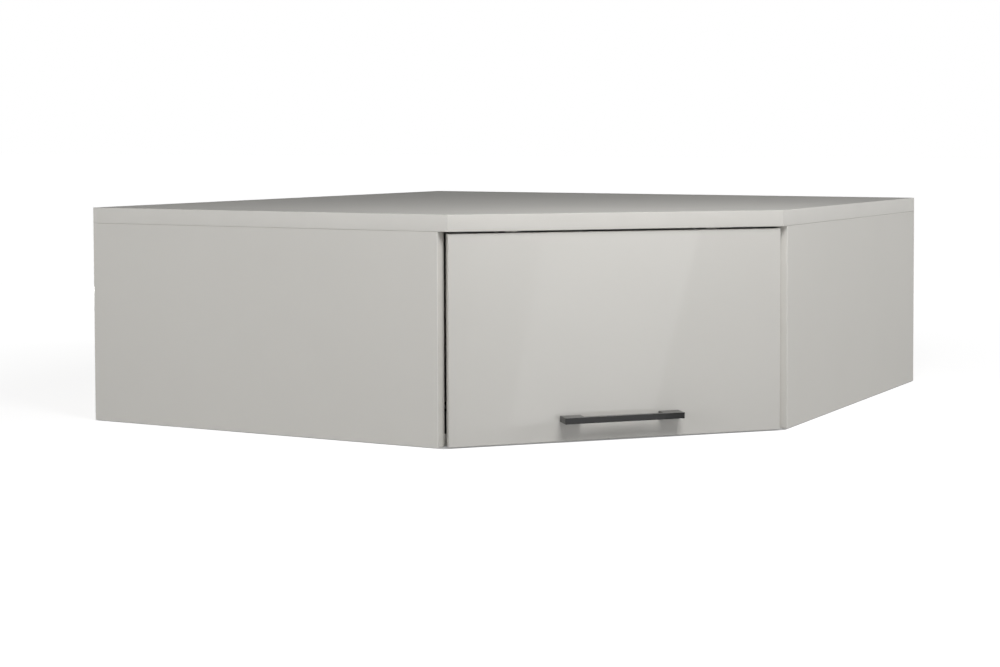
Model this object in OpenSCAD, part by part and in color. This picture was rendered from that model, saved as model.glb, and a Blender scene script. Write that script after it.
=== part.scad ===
// Corner wall cabinet with a lift-up flap.
// The walls are the planes x = 0 and y = 0, and the origin is their corner at the cabinet's
// underside. +X runs along the right wall, -Y along the left wall and +Z is up.
// The right half mirrors the left half in the plane x = -y.

/* [Cabinet] */
// Length of the cabinet along each wall
wall_len = 905; // [860:1:960]
// Depth of the top at each end, from the wall to the diagonal front
side_depth = 578; // [540:1:610]
// Height from the underside to the top surface
cab_h = 298; // [290:1:380]
// Thickness of the top board
top_t = 22; // [20:1:28]
// Thickness of the side boards
side_t = 16; // [15:0.5:19]
// Thickness of the bottom board
bottom_t = 16; // [15:0.5:19]
// How far the side boards stop short of the top's front corners
side_setback = 15; // [13:0.5:17]
// Thickness of the plastic edging on the boards
band_t = 1; // [0.5:0.1:2]

/* [Back] */
// Thickness of the back boards
back_t = 3; // [2.5:0.1:4]
// Space between the wall and a back board
back_inset = 12; // [10:0.5:14]
// Depth of the grooves that hold the back boards
groove_d = 8; // [5:0.5:9]
// Clearance of a back board in its groove, on each side
groove_play = 0.2; // [0.1:0.05:0.3]
// Width of the square post in the corner
post_w = 32; // [28:1:45]

/* [Door] */
// Thickness of the door
door_t = 16; // [15:0.5:18]
// How far the door's face lies behind the top's diagonal edge
door_recess = 5; // [3:0.5:5.5]
// Gap between each end of the door and the top's front corner
door_side_gap = 2.2; // [1.5:0.1:4]
// Gap between the door and the underside of the top
door_top_gap = 2.5; // [2.4:0.1:2.7]
// Height of the door's lower edge over the cabinet's underside
door_bottom_gap = 0.5; // [0.4:0.1:3]
// Gap between the door's back and the bottom board's front edge
door_back_gap = 1.8; // [1.6:0.1:3]
// Clearance between the swinging door and the top
swing_clear = 0.5; // [0.4:0.05:0.6]

/* [Handle] */
// Length of the handle
handle_len = 164; // [150:1:200]
// Height of the bar and its feet
handle_h = 8; // [7:0.5:12]
// How far the handle stands out from the door
handle_proj = 25.5; // [22:0.5:35]
// Depth of the bar, front to back
handle_bar_d = 8; // [6:0.5:10]
// Width of each foot
handle_foot_w = 28; // [20:0.5:30]
// Distance between the handle's two screws
handle_pitch = 128; // [120:1:130]
// Height of the handle's centre over the door's lower edge
handle_up = 30; // [20:0.5:60]
// Radius of the handle's screws
handle_screw_r = 2; // [1.5:0.1:2.5]
// Depth of the screw thread in a foot
handle_thread_d = 12; // [8:0.5:15]

/* [Hinges] */
// Distance from the top's front corner to the middle of a hinge
hinge_x = 92; // [80:1:130]
// Radius of a hinge cup
cup_r = 17.5; // [17:0.1:18]
// Distance of the cup's centre below the hinge pin
cup_drop = 7.5; // [7:0.1:8]
// Wall of the cup
cup_wall = 1.2; // [1:0.1:1.5]
// Radius of a hinge pin
pin_r = 1.25; // [1.1:0.05:1.4]
// Radius of the arm's eye round the pin
eye_r = 2.5; // [2.3:0.05:2.7]
// Running clearance between the pin and the eye
pin_play = 0.05; // [0.02:0.01:0.08]
// Width of the arm
arm_w = 10; // [8:0.5:11]
// Thickness of the arm
arm_t = 3; // [2:0.1:3.5]
// Clearance between the arm's bend and the door's swinging edge
arm_clear = 1; // [0.6:0.1:2]
// Length of the arm's foot under its plate
foot_len = 46; // [42:1:52]
// Height of the arm's foot
foot_h = 6; // [4:0.5:8]
// Thickness of the mounting plate
plate_t = 3; // [2:0.5:4]
// Distance between the two screws of a mounting plate
plate_pitch = 32; // [30:1:40]
// Distance between the two screws of a cup
cup_pitch = 48; // [46:1:52]

/* [Gas struts] */
// Distance from the top's front corner to the middle of a strut
strut_x = 30; // [28:0.5:34]
// Distance of the lower stud behind the hinge pin
stud_back = 100; // [80:1:130]
// Height of the lower stud over the bottom board
stud_up = 22; // [18:1:30]
// Distance of the upper stud behind the hinge pin
lug_back = 28; // [27:0.5:30]
// Distance of the upper stud below the hinge pin
lug_drop = 34; // [30:1:40]
// Radius of the studs
stud_r = 3; // [2.5:0.1:4]
// Radius of the rod ends round the studs
socket_r = 6.5; // [5.5:0.1:7]
// Distance from a stud's centre to the end of the rod or the tube
socket_len = 13; // [11:0.5:16]
// Radius of the strut's tube
tube_r = 7.5; // [6.5:0.1:8]
// Wall of the tube
tube_wall = 1.2; // [1:0.1:1.5]
// Radius of the strut's rod
rod_r = 4; // [3:0.1:4.5]
// Length of rod that shows with the door closed
rod_show = 12; // [8:1:20]
// Gap between the upper stud and its rod end
open_gap = 0.4; // [0.3:0.05:0.6]
// Running clearance of the rod, its piston and the lower studs
strut_play = 0.05; // [0.02:0.01:0.08]
// Thickness of the brackets' sheet
bracket_t = 2; // [1.5:0.1:3]

/* [Fixings] */
// Distance of the cams from a side board's ends
cam_end = 80; // [70:1:100]
// Distance from a board's edge to a cam's centre
cam_in = 34; // [24:1:34]
// Radius of a cam
cam_r = 7.5; // [6:0.1:8]
// Depth of a cam
cam_h = 12.3; // [11:0.1:12.5]
// Radius of a cam bolt
cam_bolt_r = 3.5; // [3:0.1:3.8]
// Radius of a cam bolt's thread
cam_thread_r = 2.5; // [2:0.1:3]
// Depth of a cam bolt's thread in its board
cam_thread_d = 11; // [9:0.5:12]
// Radius of a cap over a cam
cap_r = 8.6; // [8.2:0.1:10]
// Thickness of a cap
cap_t = 1; // [0.6:0.1:1.5]
// Radius of the dowels
dowel_r = 4; // [3:0.1:4]
// Length of the dowels
dowel_len = 30; // [25:1:35]
// How far a dowel goes into a face
dowel_face_d = 11; // [9:0.5:12]
// Distance between a dowel and its cam
dowel_step = 32; // [25:1:40]
// Clearance round a fixing in its hole
fix_play = 0.05; // [0.02:0.01:0.1]
// Radius of the wood screws
screw_r = 1.75; // [1.5:0.05:2]
// Radius of their heads
screw_head_r = 3.5; // [3:0.1:3.8]
// Height of their heads
screw_head_h = 2; // [1.5:0.1:2.5]
// Length of the wood screws
screw_len = 12; // [10:0.5:13]

/* [Hangers] */
// Distance of a hook's underside below the top board
hook_down = 36; // [30:1:50]
// Thickness of a hook
hook_t = 3; // [2:0.1:4]
// Width of a hook
hook_w = 12; // [10:0.5:13]
// Length of the hanger's body
hanger_len = 40; // [36:1:50]
// Thickness of the hanger's body
hanger_t = 18; // [17:0.5:22]
// Height of the hanger's body
hanger_h = 48; // [44:1:60]
// Thickness of a wall plate
wall_plate_t = 2; // [1.5:0.1:2.5]
// Width of a wall plate
wall_plate_w = 60; // [55:1:90]
// Height of a wall plate's flat part
wall_plate_h = 29; // [24:1:40]
// Distance between a wall plate's two holes
wall_plate_pitch = 40; // [30:1:45]
// Radius of a wall plate's holes
wall_hole_r = 3.25; // [2.5:0.05:4]
// Gap behind a wall plate's lip, for the hook's tip
lip_gap = 2.9; // [2.5:0.1:3.5]

/* [Buffers] */
// Radius of the door buffers
buffer_r = 4; // [3:0.1:5]
// Thickness of the door buffers
buffer_t = 1.5; // [1:0.1:1.5]

/* [Hidden] */
$fn = 48;

root2 = sqrt(2);
over = 1;                                        // how far a cut runs past a face
board_colour = [0.76, 0.755, 0.735];
door_colour = [0.78, 0.775, 0.755];
inside_colour = [0.72, 0.715, 0.695];
handle_colour = [0.2, 0.2, 0.205];
steel_colour = [0.7, 0.71, 0.72];
dark_colour = [0.12, 0.12, 0.125];
plastic_colour = [0.88, 0.88, 0.87];
beech_colour = [0.8, 0.65, 0.45];

side_h = cab_h - top_t;
side_len = side_depth - side_setback;
front_w = (wall_len - side_depth) * root2;
side_face = side_t - wall_len;                   // inner face of the left side board

door_w = front_w - 2 * door_side_gap;
door_top = side_h - door_top_gap;
door_h = door_top - door_bottom_gap;
door_back = door_recess + door_t;
bottom_front = door_back + door_back_gap;

// The hinge pin lies in the middle of the door's thickness, as high as the swing allows
swing_gap = door_top_gap - swing_clear;
pin_down = (pow(door_t / 2, 2) - pow(swing_gap, 2)) / (2 * swing_gap);
swing_r = pin_down + swing_gap;
pin_y = door_recess + door_t / 2;
pin_z = door_top - pin_down;

cup_floor = 1;
eye_room = 0.5;
cup_d = door_t / 2 + eye_r + eye_room + cup_floor;
cup_hole_d = cup_d + 0.2;
cup_flange_t = 1.2;
cup_flange_r = 5;
cup_rim = 1;
cheek_t = 2;
cheek_play = 0.4;
cheek_h = 7;
cheek_out = 3;
arm_angle = -62;
arm_in_r = swing_r + arm_clear;
arm_out_r = arm_in_r + arm_t;
plate_bottom = pin_down + door_top_gap - plate_t;
plate_w = 16;
plate_end = 2;                                   // plate past the end of the arm's foot
plate_wing_back = 24;
plate_wing_y = arm_in_r + plate_wing_back;
plate_wing_w = 14;
foot_screw_step = 14;
foot_screw_y = plate_wing_y + foot_screw_step;
foot_screw_len = foot_h + plate_t;

stud_z = bottom_t + stud_up - pin_z;
strut_len = norm([stud_back - lug_back, -lug_drop - stud_z]);
strut_lean = atan2(stud_back - lug_back, -lug_drop - stud_z);
tube_len = strut_len - 2 * socket_len - rod_show;
seal_t = 6;
tube_cap_t = 3;
piston_t = 6;
piston_gap = 8;
spigot_r = 3;
spigot_len = 6;
socket_w = tube_r + 5;
neck_wall = 1;
bracket_gap = 4.5;                               // between a bracket and the rod end beside it
bracket_x = strut_x - tube_r - bracket_gap - bracket_t;
bracket_w = 12;
bracket_h = 34;
bracket_screw_step = 24;
clip_r = 4.6;
clip_t = 1.2;
clip_gap = 0.7;
stud_end = socket_w - tube_r + clip_gap + clip_t;

cam_places = [cam_end, side_len - cam_end];
dowel_places = [cam_end + dowel_step, side_len - cam_end - dowel_step];
cam_bore_r = 4;
cam_start = 2;                                   // from a cam's centre to the end of its bolt
cam_slot_w = 1.2;
cam_slot_d = 1.5;
cap_rim = 2;
cap_dish_d = 0.3;
screw_slot_w = 0.8;
screw_slot_d = 0.8;
handle_head_r = 4;
buffer_x = 30;
post_screw_r = 3.5;
post_screw_len = 50;
post_head_r = 5;
post_head_h = 3;
post_key_r = 2;
post_key_d = 2;

hook_z = side_h - hook_down;
hanger_x = back_inset + back_t + 2 * groove_play + 1;
hanger_down = 34;                                // from a hook to its body's underside
hanger_y = side_face + hanger_t / 2;
hook_reach = 30;
tip_t = 2;
tip_h = 8;
lip_h = 18;
lip_x = wall_plate_t + lip_gap;
tip_x = lip_x - (lip_gap + tip_t) / 2;
notch_room = 4;
wall_plate_gap = 4;
wall_plate_y = side_face + wall_plate_w / 2 + wall_plate_gap;
wall_plate_low = hook_z - lip_h + wall_plate_t - wall_plate_h;
hanger_screw_down = 20;
hanger_screw_z = hook_z - hanger_screw_down;
hanger_screw_step = 24;

// Outline of the top, with its three free edges drawn in by b
function top_outline(b) = let(c = b * (root2 - 1)) [
    [0, b - wall_len], [side_depth - c, b - wall_len],
    [wall_len - b, c - side_depth], [wall_len - b, 0],
];

// Outline of the bottom, which lies between the sides, with its front edge drawn in by b
function bottom_outline(b) = let(
    sum = wall_len + side_depth - root2 * (bottom_front + b),
    near = sum + side_face
) [[0, side_face], [near, side_face], [-side_face, -near], [-side_face, 0]];

function reversed(points) = [for (i = [len(points) - 1:-1:0]) points[i]];

// Places a shape on the diagonal front: x along the door, y inwards
module at_front() {
    translate([side_depth, -wall_len, 0])
        rotate([0, 0, 45])
            children();
}

// Places a shape at the hinge pin's height and depth
module at_pin(x) {
    at_front()
        translate([x, pin_y, pin_z])
            children();
}

module opposite() {
    mirror([1, 1, 0])
        children();
}

module both() {
    children();
    opposite()
        children();
}

// Extrudes a profile drawn in y and z along x, centred on x = 0
module across(w) {
    rotate([90, 0, 90])
        translate([0, 0, -w / 2])
            linear_extrude(w)
                children();
}

// A cylinder along x from x0 to x1
module rod_x(r, x0, x1) {
    translate([x0, 0, 0])
        rotate([0, 90, 0])
            cylinder(r = r, h = x1 - x0);
}

// A screw whose head stands on z = 0 and whose shank points down
module screw(r, length, head_r, head_h) {
    translate([0, 0, -length])
        cylinder(r = r, h = length + head_h / 2);
    difference() {
        cylinder(r = head_r, h = head_h);
        for (turn = [0, 90])
            rotate([0, 0, turn])
                translate([-r, -screw_slot_w / 2, head_h - screw_slot_d])
                    cube([2 * r, screw_slot_w, over + screw_slot_d]);
    }
}

module wood_screw() {
    screw(screw_r, screw_len, screw_head_r, screw_head_h);
}

// The hole for a screw of this length whose head stands on z = 0
module screw_hole(length) {
    translate([0, 0, -length - fix_play])
        cylinder(r = screw_r + fix_play, h = length + fix_play + over);
}

// Cams: each stands in a face at z = 0, and its bolt comes from -y
module at_top_cams() {
    for (x = cam_places)
        translate([x, side_face, side_h - cam_in])
            rotate([-90, 0, 0])
                children();
}

module at_bottom_cams() {
    for (x = cam_places)
        translate([x, side_face + cam_in, bottom_t])
            children();
}

module cam(t) {
    difference() {
        translate([0, 0, -cam_h])
            cylinder(r = cam_r - fix_play, h = cam_h);
        translate([0, -cam_start + fix_play, -t / 2])
            rotate([90, 0, 0])
                cylinder(r = cam_bolt_r + fix_play, h = cam_r);
        for (turn = [0, 90])
            rotate([0, 0, turn])
                translate([-cam_r / 2, -cam_slot_w / 2, -cam_slot_d])
                    cube([cam_r, cam_slot_w, over + cam_slot_d]);
    }
}

module cam_hole(t) {
    translate([0, 0, -cam_h - fix_play])
        cylinder(r = cam_r, h = cam_h + fix_play + over);
    translate([0, 0, -t / 2])
        rotate([90, 0, 0])
            cylinder(r = cam_bore_r, h = cam_in + over);
}

module cam_bolt(t) {
    translate([0, -cam_start, -t / 2])
        rotate([90, 0, 0])
            cylinder(r = cam_bolt_r, h = cam_in - cam_start);
    translate([0, -cam_in, -t / 2])
        rotate([90, 0, 0])
            cylinder(r = cam_thread_r, h = cam_thread_d);
}

module cam_thread_hole(t) {
    translate([0, over - cam_in, -t / 2])
        rotate([90, 0, 0])
            cylinder(r = cam_thread_r + fix_play, h = cam_thread_d + over + fix_play);
}

module cam_cap() {
    difference() {
        cylinder(r = cap_r, h = cap_t);
        translate([0, 0, cap_t - cap_dish_d])
            cylinder(r = cap_r - cap_rim, h = over);
    }
}

// Dowels: each runs along z, with its end in a face dowel_face_d above z = 0
module at_top_dowels() {
    for (x = dowel_places)
        translate([x, side_face - side_t / 2, side_h])
            children();
}

module at_bottom_dowels() {
    for (x = dowel_places)
        translate([x, side_face, bottom_t / 2])
            rotate([90, 0, 0])
                children();
}

module at_post_dowel() {
    translate([post_w / 2, -post_w / 2, side_h])
        children();
}

module dowel() {
    translate([0, 0, dowel_face_d - dowel_len])
        cylinder(r = dowel_r, h = dowel_len);
}

module dowel_hole() {
    translate([0, 0, dowel_face_d - dowel_len - fix_play])
        cylinder(r = dowel_r + fix_play, h = dowel_len + 2 * fix_play);
}

// Room for a back board along the left wall, from y0 to y1 and z0 to z1
module back_slot(y0, y1, z0, z1) {
    translate([back_inset, y0, z0])
        cube([back_t + 2 * groove_play, y1 - y0, z1 - z0]);
}

// Screws of the fittings
module at_plate_screws() {
    for (side = [-1, 1])
        at_pin(hinge_x + side * plate_pitch / 2)
            translate([0, plate_wing_y, plate_bottom])
                rotate([180, 0, 0])
                    children();
}

module at_floor_screws() {
    for (side = [-1, 1])
        at_front()
            translate([bracket_x - bracket_w / 2, pin_y + stud_back, bottom_t + bracket_t])
                translate([0, side * bracket_screw_step / 2, 0])
                    children();
}

module at_door_bracket_screws() {
    for (side = [-1, 1])
        at_pin(bracket_x - bracket_w / 2)
            translate([0, door_t / 2 + bracket_t, side * bracket_screw_step / 2 - lug_drop])
                rotate([-90, 0, 0])
                    children();
}

module at_cup_screws() {
    for (side = [-1, 1])
        at_pin(hinge_x + side * cup_pitch / 2)
            translate([0, door_t / 2 + cup_flange_t, -cup_drop])
                rotate([-90, 0, 0])
                    children();
}

module at_handle_screws() {
    for (side = [-1, 1])
        at_front()
            translate([front_w / 2 + side * handle_pitch / 2, door_back, door_bottom_gap + handle_up])
                rotate([-90, 0, 0])
                    children();
}

module at_hanger_screws() {
    for (side = [-1, 1])
        translate([hanger_x + hanger_len / 2 + side * hanger_screw_step / 2,
                   side_face + hanger_t, hanger_screw_z])
            rotate([-90, 0, 0])
                children();
}

// The carcass
module top_panel() color(board_colour) {
    difference() {
        translate([0, 0, side_h])
            linear_extrude(top_t)
                polygon(concat([[0, 0]], top_outline(band_t)));
        both() {
            back_slot(side_face - groove_d, groove_d - post_w, side_h - over, side_h + groove_d);
            at_top_cams()
                cam_thread_hole(side_t);
            at_top_dowels()
                dowel_hole();
            at_plate_screws()
                screw_hole(screw_len);
        }
        at_post_dowel()
            dowel_hole();
    }
}

module top_edging() color(board_colour) {
    translate([0, 0, side_h])
        linear_extrude(top_t)
            polygon(concat(top_outline(0), reversed(top_outline(band_t))));
}

module bottom_panel() color(inside_colour) {
    difference() {
        linear_extrude(bottom_t)
            polygon(concat([[0, 0]], bottom_outline(band_t)));
        both() {
            back_slot(side_face - over, groove_d - post_w, bottom_t - groove_d, bottom_t + over);
            at_bottom_cams()
                cam_hole(bottom_t);
            at_bottom_dowels()
                dowel_hole();
            at_floor_screws()
                screw_hole(screw_len);
        }
        translate([post_w / 2, -post_w / 2, -over])
            cylinder(r = post_screw_r + fix_play, h = bottom_t + 2 * over);
        translate([post_w / 2, -post_w / 2, -over])
            cylinder(r = post_head_r + fix_play, h = post_head_h + over);
    }
}

module bottom_edging() color(board_colour) {
    outer = bottom_outline(0);
    inner = bottom_outline(band_t);
    linear_extrude(bottom_t)
        polygon([outer[1], outer[2], inner[2], inner[1]]);
}

module side_panel() {
    difference() {
        translate([0, -wall_len, 0])
            cube([side_len - band_t, side_t, side_h]);
        back_slot(side_face - groove_d, side_face + over, -over, side_h + over);
        at_top_cams()
            cam_hole(side_t);
        at_bottom_cams()
            cam_thread_hole(bottom_t);
        at_top_dowels()
            dowel_hole();
        at_bottom_dowels()
            dowel_hole();
        at_hanger_screws()
            screw_hole(hanger_t + screw_len);
    }
}

module left_side_panel() color(board_colour) {
    side_panel();
}

module right_side_panel() color(board_colour) {
    opposite()
        side_panel();
}

module side_edging() {
    translate([side_len - band_t, -wall_len, 0])
        cube([band_t, side_t, side_h]);
}

module left_side_edging() color(board_colour) {
    side_edging();
}

module right_side_edging() color(board_colour) {
    opposite()
        side_edging();
}

module corner_post() color(inside_colour) {
    difference() {
        translate([0, -post_w, bottom_t])
            cube([post_w, post_w, side_h - bottom_t]);
        both()
            back_slot(-post_w - over, groove_d - post_w, bottom_t - over, side_h + over);
        at_post_dowel()
            dowel_hole();
        translate([post_w / 2, -post_w / 2, bottom_t - over])
            cylinder(r = post_screw_r + fix_play, h = post_screw_len - bottom_t + over + fix_play);
    }
}

module back_panel() {
    difference() {
        translate([back_inset + groove_play, side_face - groove_d + groove_play,
                   bottom_t - groove_d + groove_play])
            cube([back_t, -post_w + 2 * groove_d - side_face - 2 * groove_play,
                  side_h - bottom_t + 2 * groove_d - 2 * groove_play]);
        translate([back_inset - over, side_face - groove_d - over, hook_z - tip_h - notch_room])
            cube([back_t + 2 * over, groove_d + hanger_t + over + notch_room,
                  tip_h + hook_t + 2 * notch_room]);
    }
}

module left_back_panel() color(inside_colour) {
    back_panel();
}

module right_back_panel() color(inside_colour) {
    opposite()
        back_panel();
}

// Joining hardware
module top_cams() color(steel_colour) {
    both()
        at_top_cams()
            cam(side_t);
}

module bottom_cams() color(steel_colour) {
    both()
        at_bottom_cams()
            cam(bottom_t);
}

module top_cam_bolts() color(steel_colour) {
    both()
        at_top_cams()
            cam_bolt(side_t);
}

module bottom_cam_bolts() color(steel_colour) {
    both()
        at_bottom_cams()
            cam_bolt(bottom_t);
}

module cam_caps() color(board_colour) {
    both() {
        at_top_cams()
            cam_cap();
        at_bottom_cams()
            cam_cap();
    }
}

module dowels() color(beech_colour) {
    both() {
        at_top_dowels()
            dowel();
        at_bottom_dowels()
            dowel();
    }
    at_post_dowel()
        dowel();
}

module post_screw() color(steel_colour) {
    translate([post_w / 2, -post_w / 2, 0])
        difference() {
            union() {
                cylinder(r = post_screw_r, h = post_screw_len);
                cylinder(r = post_head_r, h = post_head_h);
            }
            translate([0, 0, -over])
                cylinder(r = post_key_r, h = over + post_key_d, $fn = 6);
        }
}

// Hinges
module hinge_plate() {
    at_pin(hinge_x)
        difference() {
            union() {
                translate([-plate_w / 2, arm_in_r, plate_bottom])
                    cube([plate_w, foot_len + plate_end, plate_t]);
                translate([-plate_pitch / 2, plate_wing_y - plate_wing_w / 2, plate_bottom])
                    cube([plate_pitch, plate_wing_w, plate_t]);
                for (side = [-1, 1])
                    translate([side * plate_pitch / 2, plate_wing_y, plate_bottom])
                        cylinder(r = plate_wing_w / 2, h = plate_t);
            }
            for (side = [-1, 1])
                translate([side * plate_pitch / 2, plate_wing_y, plate_bottom - over])
                    cylinder(r = screw_r + fix_play, h = plate_t + 2 * over);
            translate([0, foot_screw_y, plate_bottom - over])
                cylinder(r = screw_r + fix_play, h = plate_t + over + fix_play);
        }
}

module left_hinge_plate() color(steel_colour) {
    hinge_plate();
}

module right_hinge_plate() color(steel_colour) {
    opposite()
        hinge_plate();
}

module arm_profile() {
    circle(r = eye_r);
    rotate(arm_angle)
        translate([0, -arm_t / 2])
            square([(arm_in_r + arm_out_r) / 2, arm_t]);
    intersection() {
        difference() {
            circle(r = arm_out_r);
            circle(r = arm_in_r);
        }
        rotate(arm_angle / 2)
            polygon([
                [0, 0],
                [2 * arm_out_r * cos(arm_angle / 2), 2 * arm_out_r * sin(arm_angle / 2)],
                [2 * arm_out_r * cos(arm_angle / 2), -2 * arm_out_r * sin(arm_angle / 2)],
            ]);
    }
    translate([arm_in_r, 0])
        square([arm_t, plate_bottom]);
    translate([arm_in_r, plate_bottom - foot_h])
        square([foot_len, foot_h]);
}

module hinge_arm() {
    at_pin(hinge_x)
        difference() {
            across(arm_w)
                arm_profile();
            rod_x(pin_r + pin_play, -arm_w, arm_w);
            translate([0, foot_screw_y, 0])
                cylinder(r = screw_r + fix_play, h = plate_bottom + over);
        }
}

module left_hinge_arm() color(steel_colour) {
    hinge_arm();
}

module right_hinge_arm() color(steel_colour) {
    opposite()
        hinge_arm();
}

module hinge_cup() {
    at_pin(hinge_x)
        difference() {
            union() {
                translate([0, door_t / 2, -cup_drop])
                    rotate([90, 0, 0])
                        difference() {
                            union() {
                                cylinder(r = cup_r - fix_play, h = cup_d);
                                translate([0, 0, -cup_flange_t]) {
                                    cylinder(r = cup_r + cup_rim, h = cup_flange_t);
                                    for (side = [-1, 1])
                                        translate([side * cup_pitch / 2, 0, 0])
                                            cylinder(r = cup_flange_r, h = cup_flange_t);
                                    translate([-cup_pitch / 2, -cup_flange_r, 0])
                                        cube([cup_pitch, 2 * cup_flange_r, cup_flange_t]);
                                }
                            }
                            translate([0, 0, -cup_flange_t - over])
                                cylinder(r = cup_r - cup_wall, h = cup_d - cup_floor + cup_flange_t + over);
                            for (side = [-1, 1])
                                translate([side * cup_pitch / 2, 0, -cup_flange_t - over])
                                    cylinder(r = screw_r + fix_play, h = cup_flange_t + 2 * over);
                        }
                for (side = [-1, 1])
                    translate([side * (arm_w / 2 + cheek_play + cheek_t / 2), 0, 0])
                        across(cheek_t)
                            translate([door_t / 2 - cup_d + cup_floor / 2, -cheek_h / 2])
                                square([cup_d - door_t / 2 - cup_floor / 2 + cheek_out, cheek_h]);
            }
            rod_x(pin_r + fix_play / 2, -arm_w, arm_w);
        }
}

module left_hinge_cup() color(steel_colour) {
    hinge_cup();
}

module right_hinge_cup() color(steel_colour) {
    opposite()
        hinge_cup();
}

module hinge_pins() color(steel_colour) {
    half = arm_w / 2 + cheek_play + cheek_t;
    both()
        at_pin(hinge_x)
            rod_x(pin_r, -half, half);
}

module cup_screws() color(steel_colour) {
    both()
        at_cup_screws()
            wood_screw();
}

module hinge_plate_screws() color(steel_colour) {
    both()
        at_plate_screws()
            wood_screw();
}

module hinge_arm_screws() color(steel_colour) {
    both()
        at_pin(hinge_x)
            translate([0, foot_screw_y, plate_bottom - foot_h])
                rotate([180, 0, 0])
                    screw(screw_r, foot_screw_len, screw_head_r, screw_head_h);
}

// Door
module door_panel() color(door_colour) {
    difference() {
        at_front()
            translate([door_side_gap + band_t, door_recess, door_bottom_gap + band_t])
                cube([door_w - 2 * band_t, door_t, door_h - 2 * band_t]);
        both() {
            at_pin(hinge_x)
                translate([0, door_t / 2 + over, -cup_drop])
                    rotate([90, 0, 0])
                        cylinder(r = cup_r, h = cup_hole_d + over);
            at_cup_screws()
                screw_hole(screw_len);
            at_door_bracket_screws()
                screw_hole(screw_len);
        }
        at_handle_screws()
            translate([0, 0, -door_t - over])
                cylinder(r = handle_screw_r + fix_play, h = door_t + 2 * over);
    }
}

module door_edging() color(door_colour) {
    at_front()
        translate([door_side_gap, door_recess, door_bottom_gap])
            difference() {
                cube([door_w, door_t, door_h]);
                translate([band_t, -over, band_t])
                    cube([door_w - 2 * band_t, door_t + 2 * over, door_h - 2 * band_t]);
            }
}

module handle() color(handle_colour) {
    difference() {
        at_front()
            translate([front_w / 2 - handle_len / 2, door_recess - handle_proj,
                       door_bottom_gap + handle_up - handle_h / 2])
                difference() {
                    cube([handle_len, handle_proj, handle_h]);
                    translate([handle_foot_w, handle_bar_d, -over])
                        cube([handle_len - 2 * handle_foot_w, handle_proj, handle_h + 2 * over]);
                }
        at_handle_screws()
            translate([0, 0, -door_t - handle_thread_d - fix_play])
                cylinder(r = handle_screw_r + fix_play, h = handle_thread_d + over + fix_play);
    }
}

module handle_screws() color(steel_colour) {
    at_handle_screws()
        screw(handle_screw_r, door_t + handle_thread_d, handle_head_r, screw_head_h);
}

module door_buffers() color(plastic_colour) {
    both()
        at_front()
            translate([door_side_gap + buffer_x, door_back, bottom_t / 2])
                rotate([-90, 0, 0])
                    cylinder(r = buffer_r, h = buffer_t);
}

// Brackets of the struts: a foot on a board, and a cheek with its stud at the given height
module bracket(height, stud_len) {
    foot_x = bracket_t - bracket_w;
    difference() {
        translate([foot_x, -bracket_h / 2, 0])
            cube([bracket_w, bracket_h, bracket_t]);
        for (side = [-1, 1])
            translate([-bracket_w / 2, side * bracket_screw_step / 2, -over])
                cylinder(r = screw_r + fix_play, h = bracket_t + 2 * over);
    }
    translate([bracket_t / 2, 0, 0])
        across(bracket_t) {
            translate([-socket_r, 0])
                square([2 * socket_r, height]);
            translate([0, height])
                circle(r = socket_r);
        }
    translate([0, 0, height])
        rod_x(stud_r, bracket_t / 2, stud_len);
}

module floor_bracket() {
    at_front()
        translate([bracket_x, pin_y + stud_back, bottom_t])
            bracket(stud_up, strut_x - bracket_x + stud_end);
}

module left_floor_bracket() color(steel_colour) {
    floor_bracket();
}

module right_floor_bracket() color(steel_colour) {
    opposite()
        floor_bracket();
}

module floor_bracket_screws() color(steel_colour) {
    both()
        at_floor_screws()
            wood_screw();
}

module stud_clips() color(dark_colour) {
    both()
        at_pin(strut_x)
            translate([0, stud_back, stud_z])
                difference() {
                    rod_x(clip_r, stud_end - clip_t, stud_end);
                    rod_x(stud_r, 0, stud_end + over);
                }
}

module door_bracket() {
    at_pin(bracket_x)
        translate([0, door_t / 2, -lug_drop])
            rotate([-90, 0, 0])
                bracket(lug_back - door_t / 2, strut_x - tube_r - open_gap - bracket_x);
}

module left_door_bracket() color(steel_colour) {
    door_bracket();
}

module right_door_bracket() color(steel_colour) {
    opposite()
        door_bracket();
}

module door_bracket_screws() color(steel_colour) {
    both()
        at_door_bracket_screws()
            wood_screw();
}

// Gas struts: z runs from the lower stud at 0 to the upper stud at strut_len
module at_strut() {
    at_pin(strut_x)
        translate([0, stud_back, stud_z])
            rotate([strut_lean, 0, 0])
                children();
}

// A rod end round a stud on the x axis, with its neck up to z = socket_len
module rod_end() {
    difference() {
        union() {
            rod_x(socket_r, -tube_r, socket_w - tube_r);
            cylinder(r = rod_r + neck_wall, h = socket_len);
        }
        rod_x(stud_r + strut_play, -tube_r - over, socket_w);
        translate([0, 0, socket_len - spigot_len - fix_play])
            cylinder(r = spigot_r + fix_play, h = spigot_len + over);
    }
}

module strut_rod() {
    rod_top = strut_len - socket_len - piston_gap;
    at_strut() {
        translate([0, 0, socket_len - spigot_len])
            cylinder(r = spigot_r, h = spigot_len);
        translate([0, 0, socket_len])
            cylinder(r = rod_r, h = rod_top - socket_len);
        translate([0, 0, rod_top - piston_t])
            cylinder(r = tube_r - tube_wall - strut_play, h = piston_t);
    }
}

module strut_rod_end() {
    at_strut()
        rod_end();
}

module strut_tube() {
    at_strut()
        translate([0, 0, strut_len - socket_len - tube_len])
            difference() {
                union() {
                    cylinder(r = tube_r, h = tube_len);
                    translate([0, 0, tube_len])
                        cylinder(r = spigot_r, h = spigot_len);
                }
                translate([0, 0, seal_t])
                    cylinder(r = tube_r - tube_wall, h = tube_len - seal_t - tube_cap_t);
                translate([0, 0, -over])
                    cylinder(r = rod_r + strut_play, h = seal_t + 2 * over);
            }
}

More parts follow.
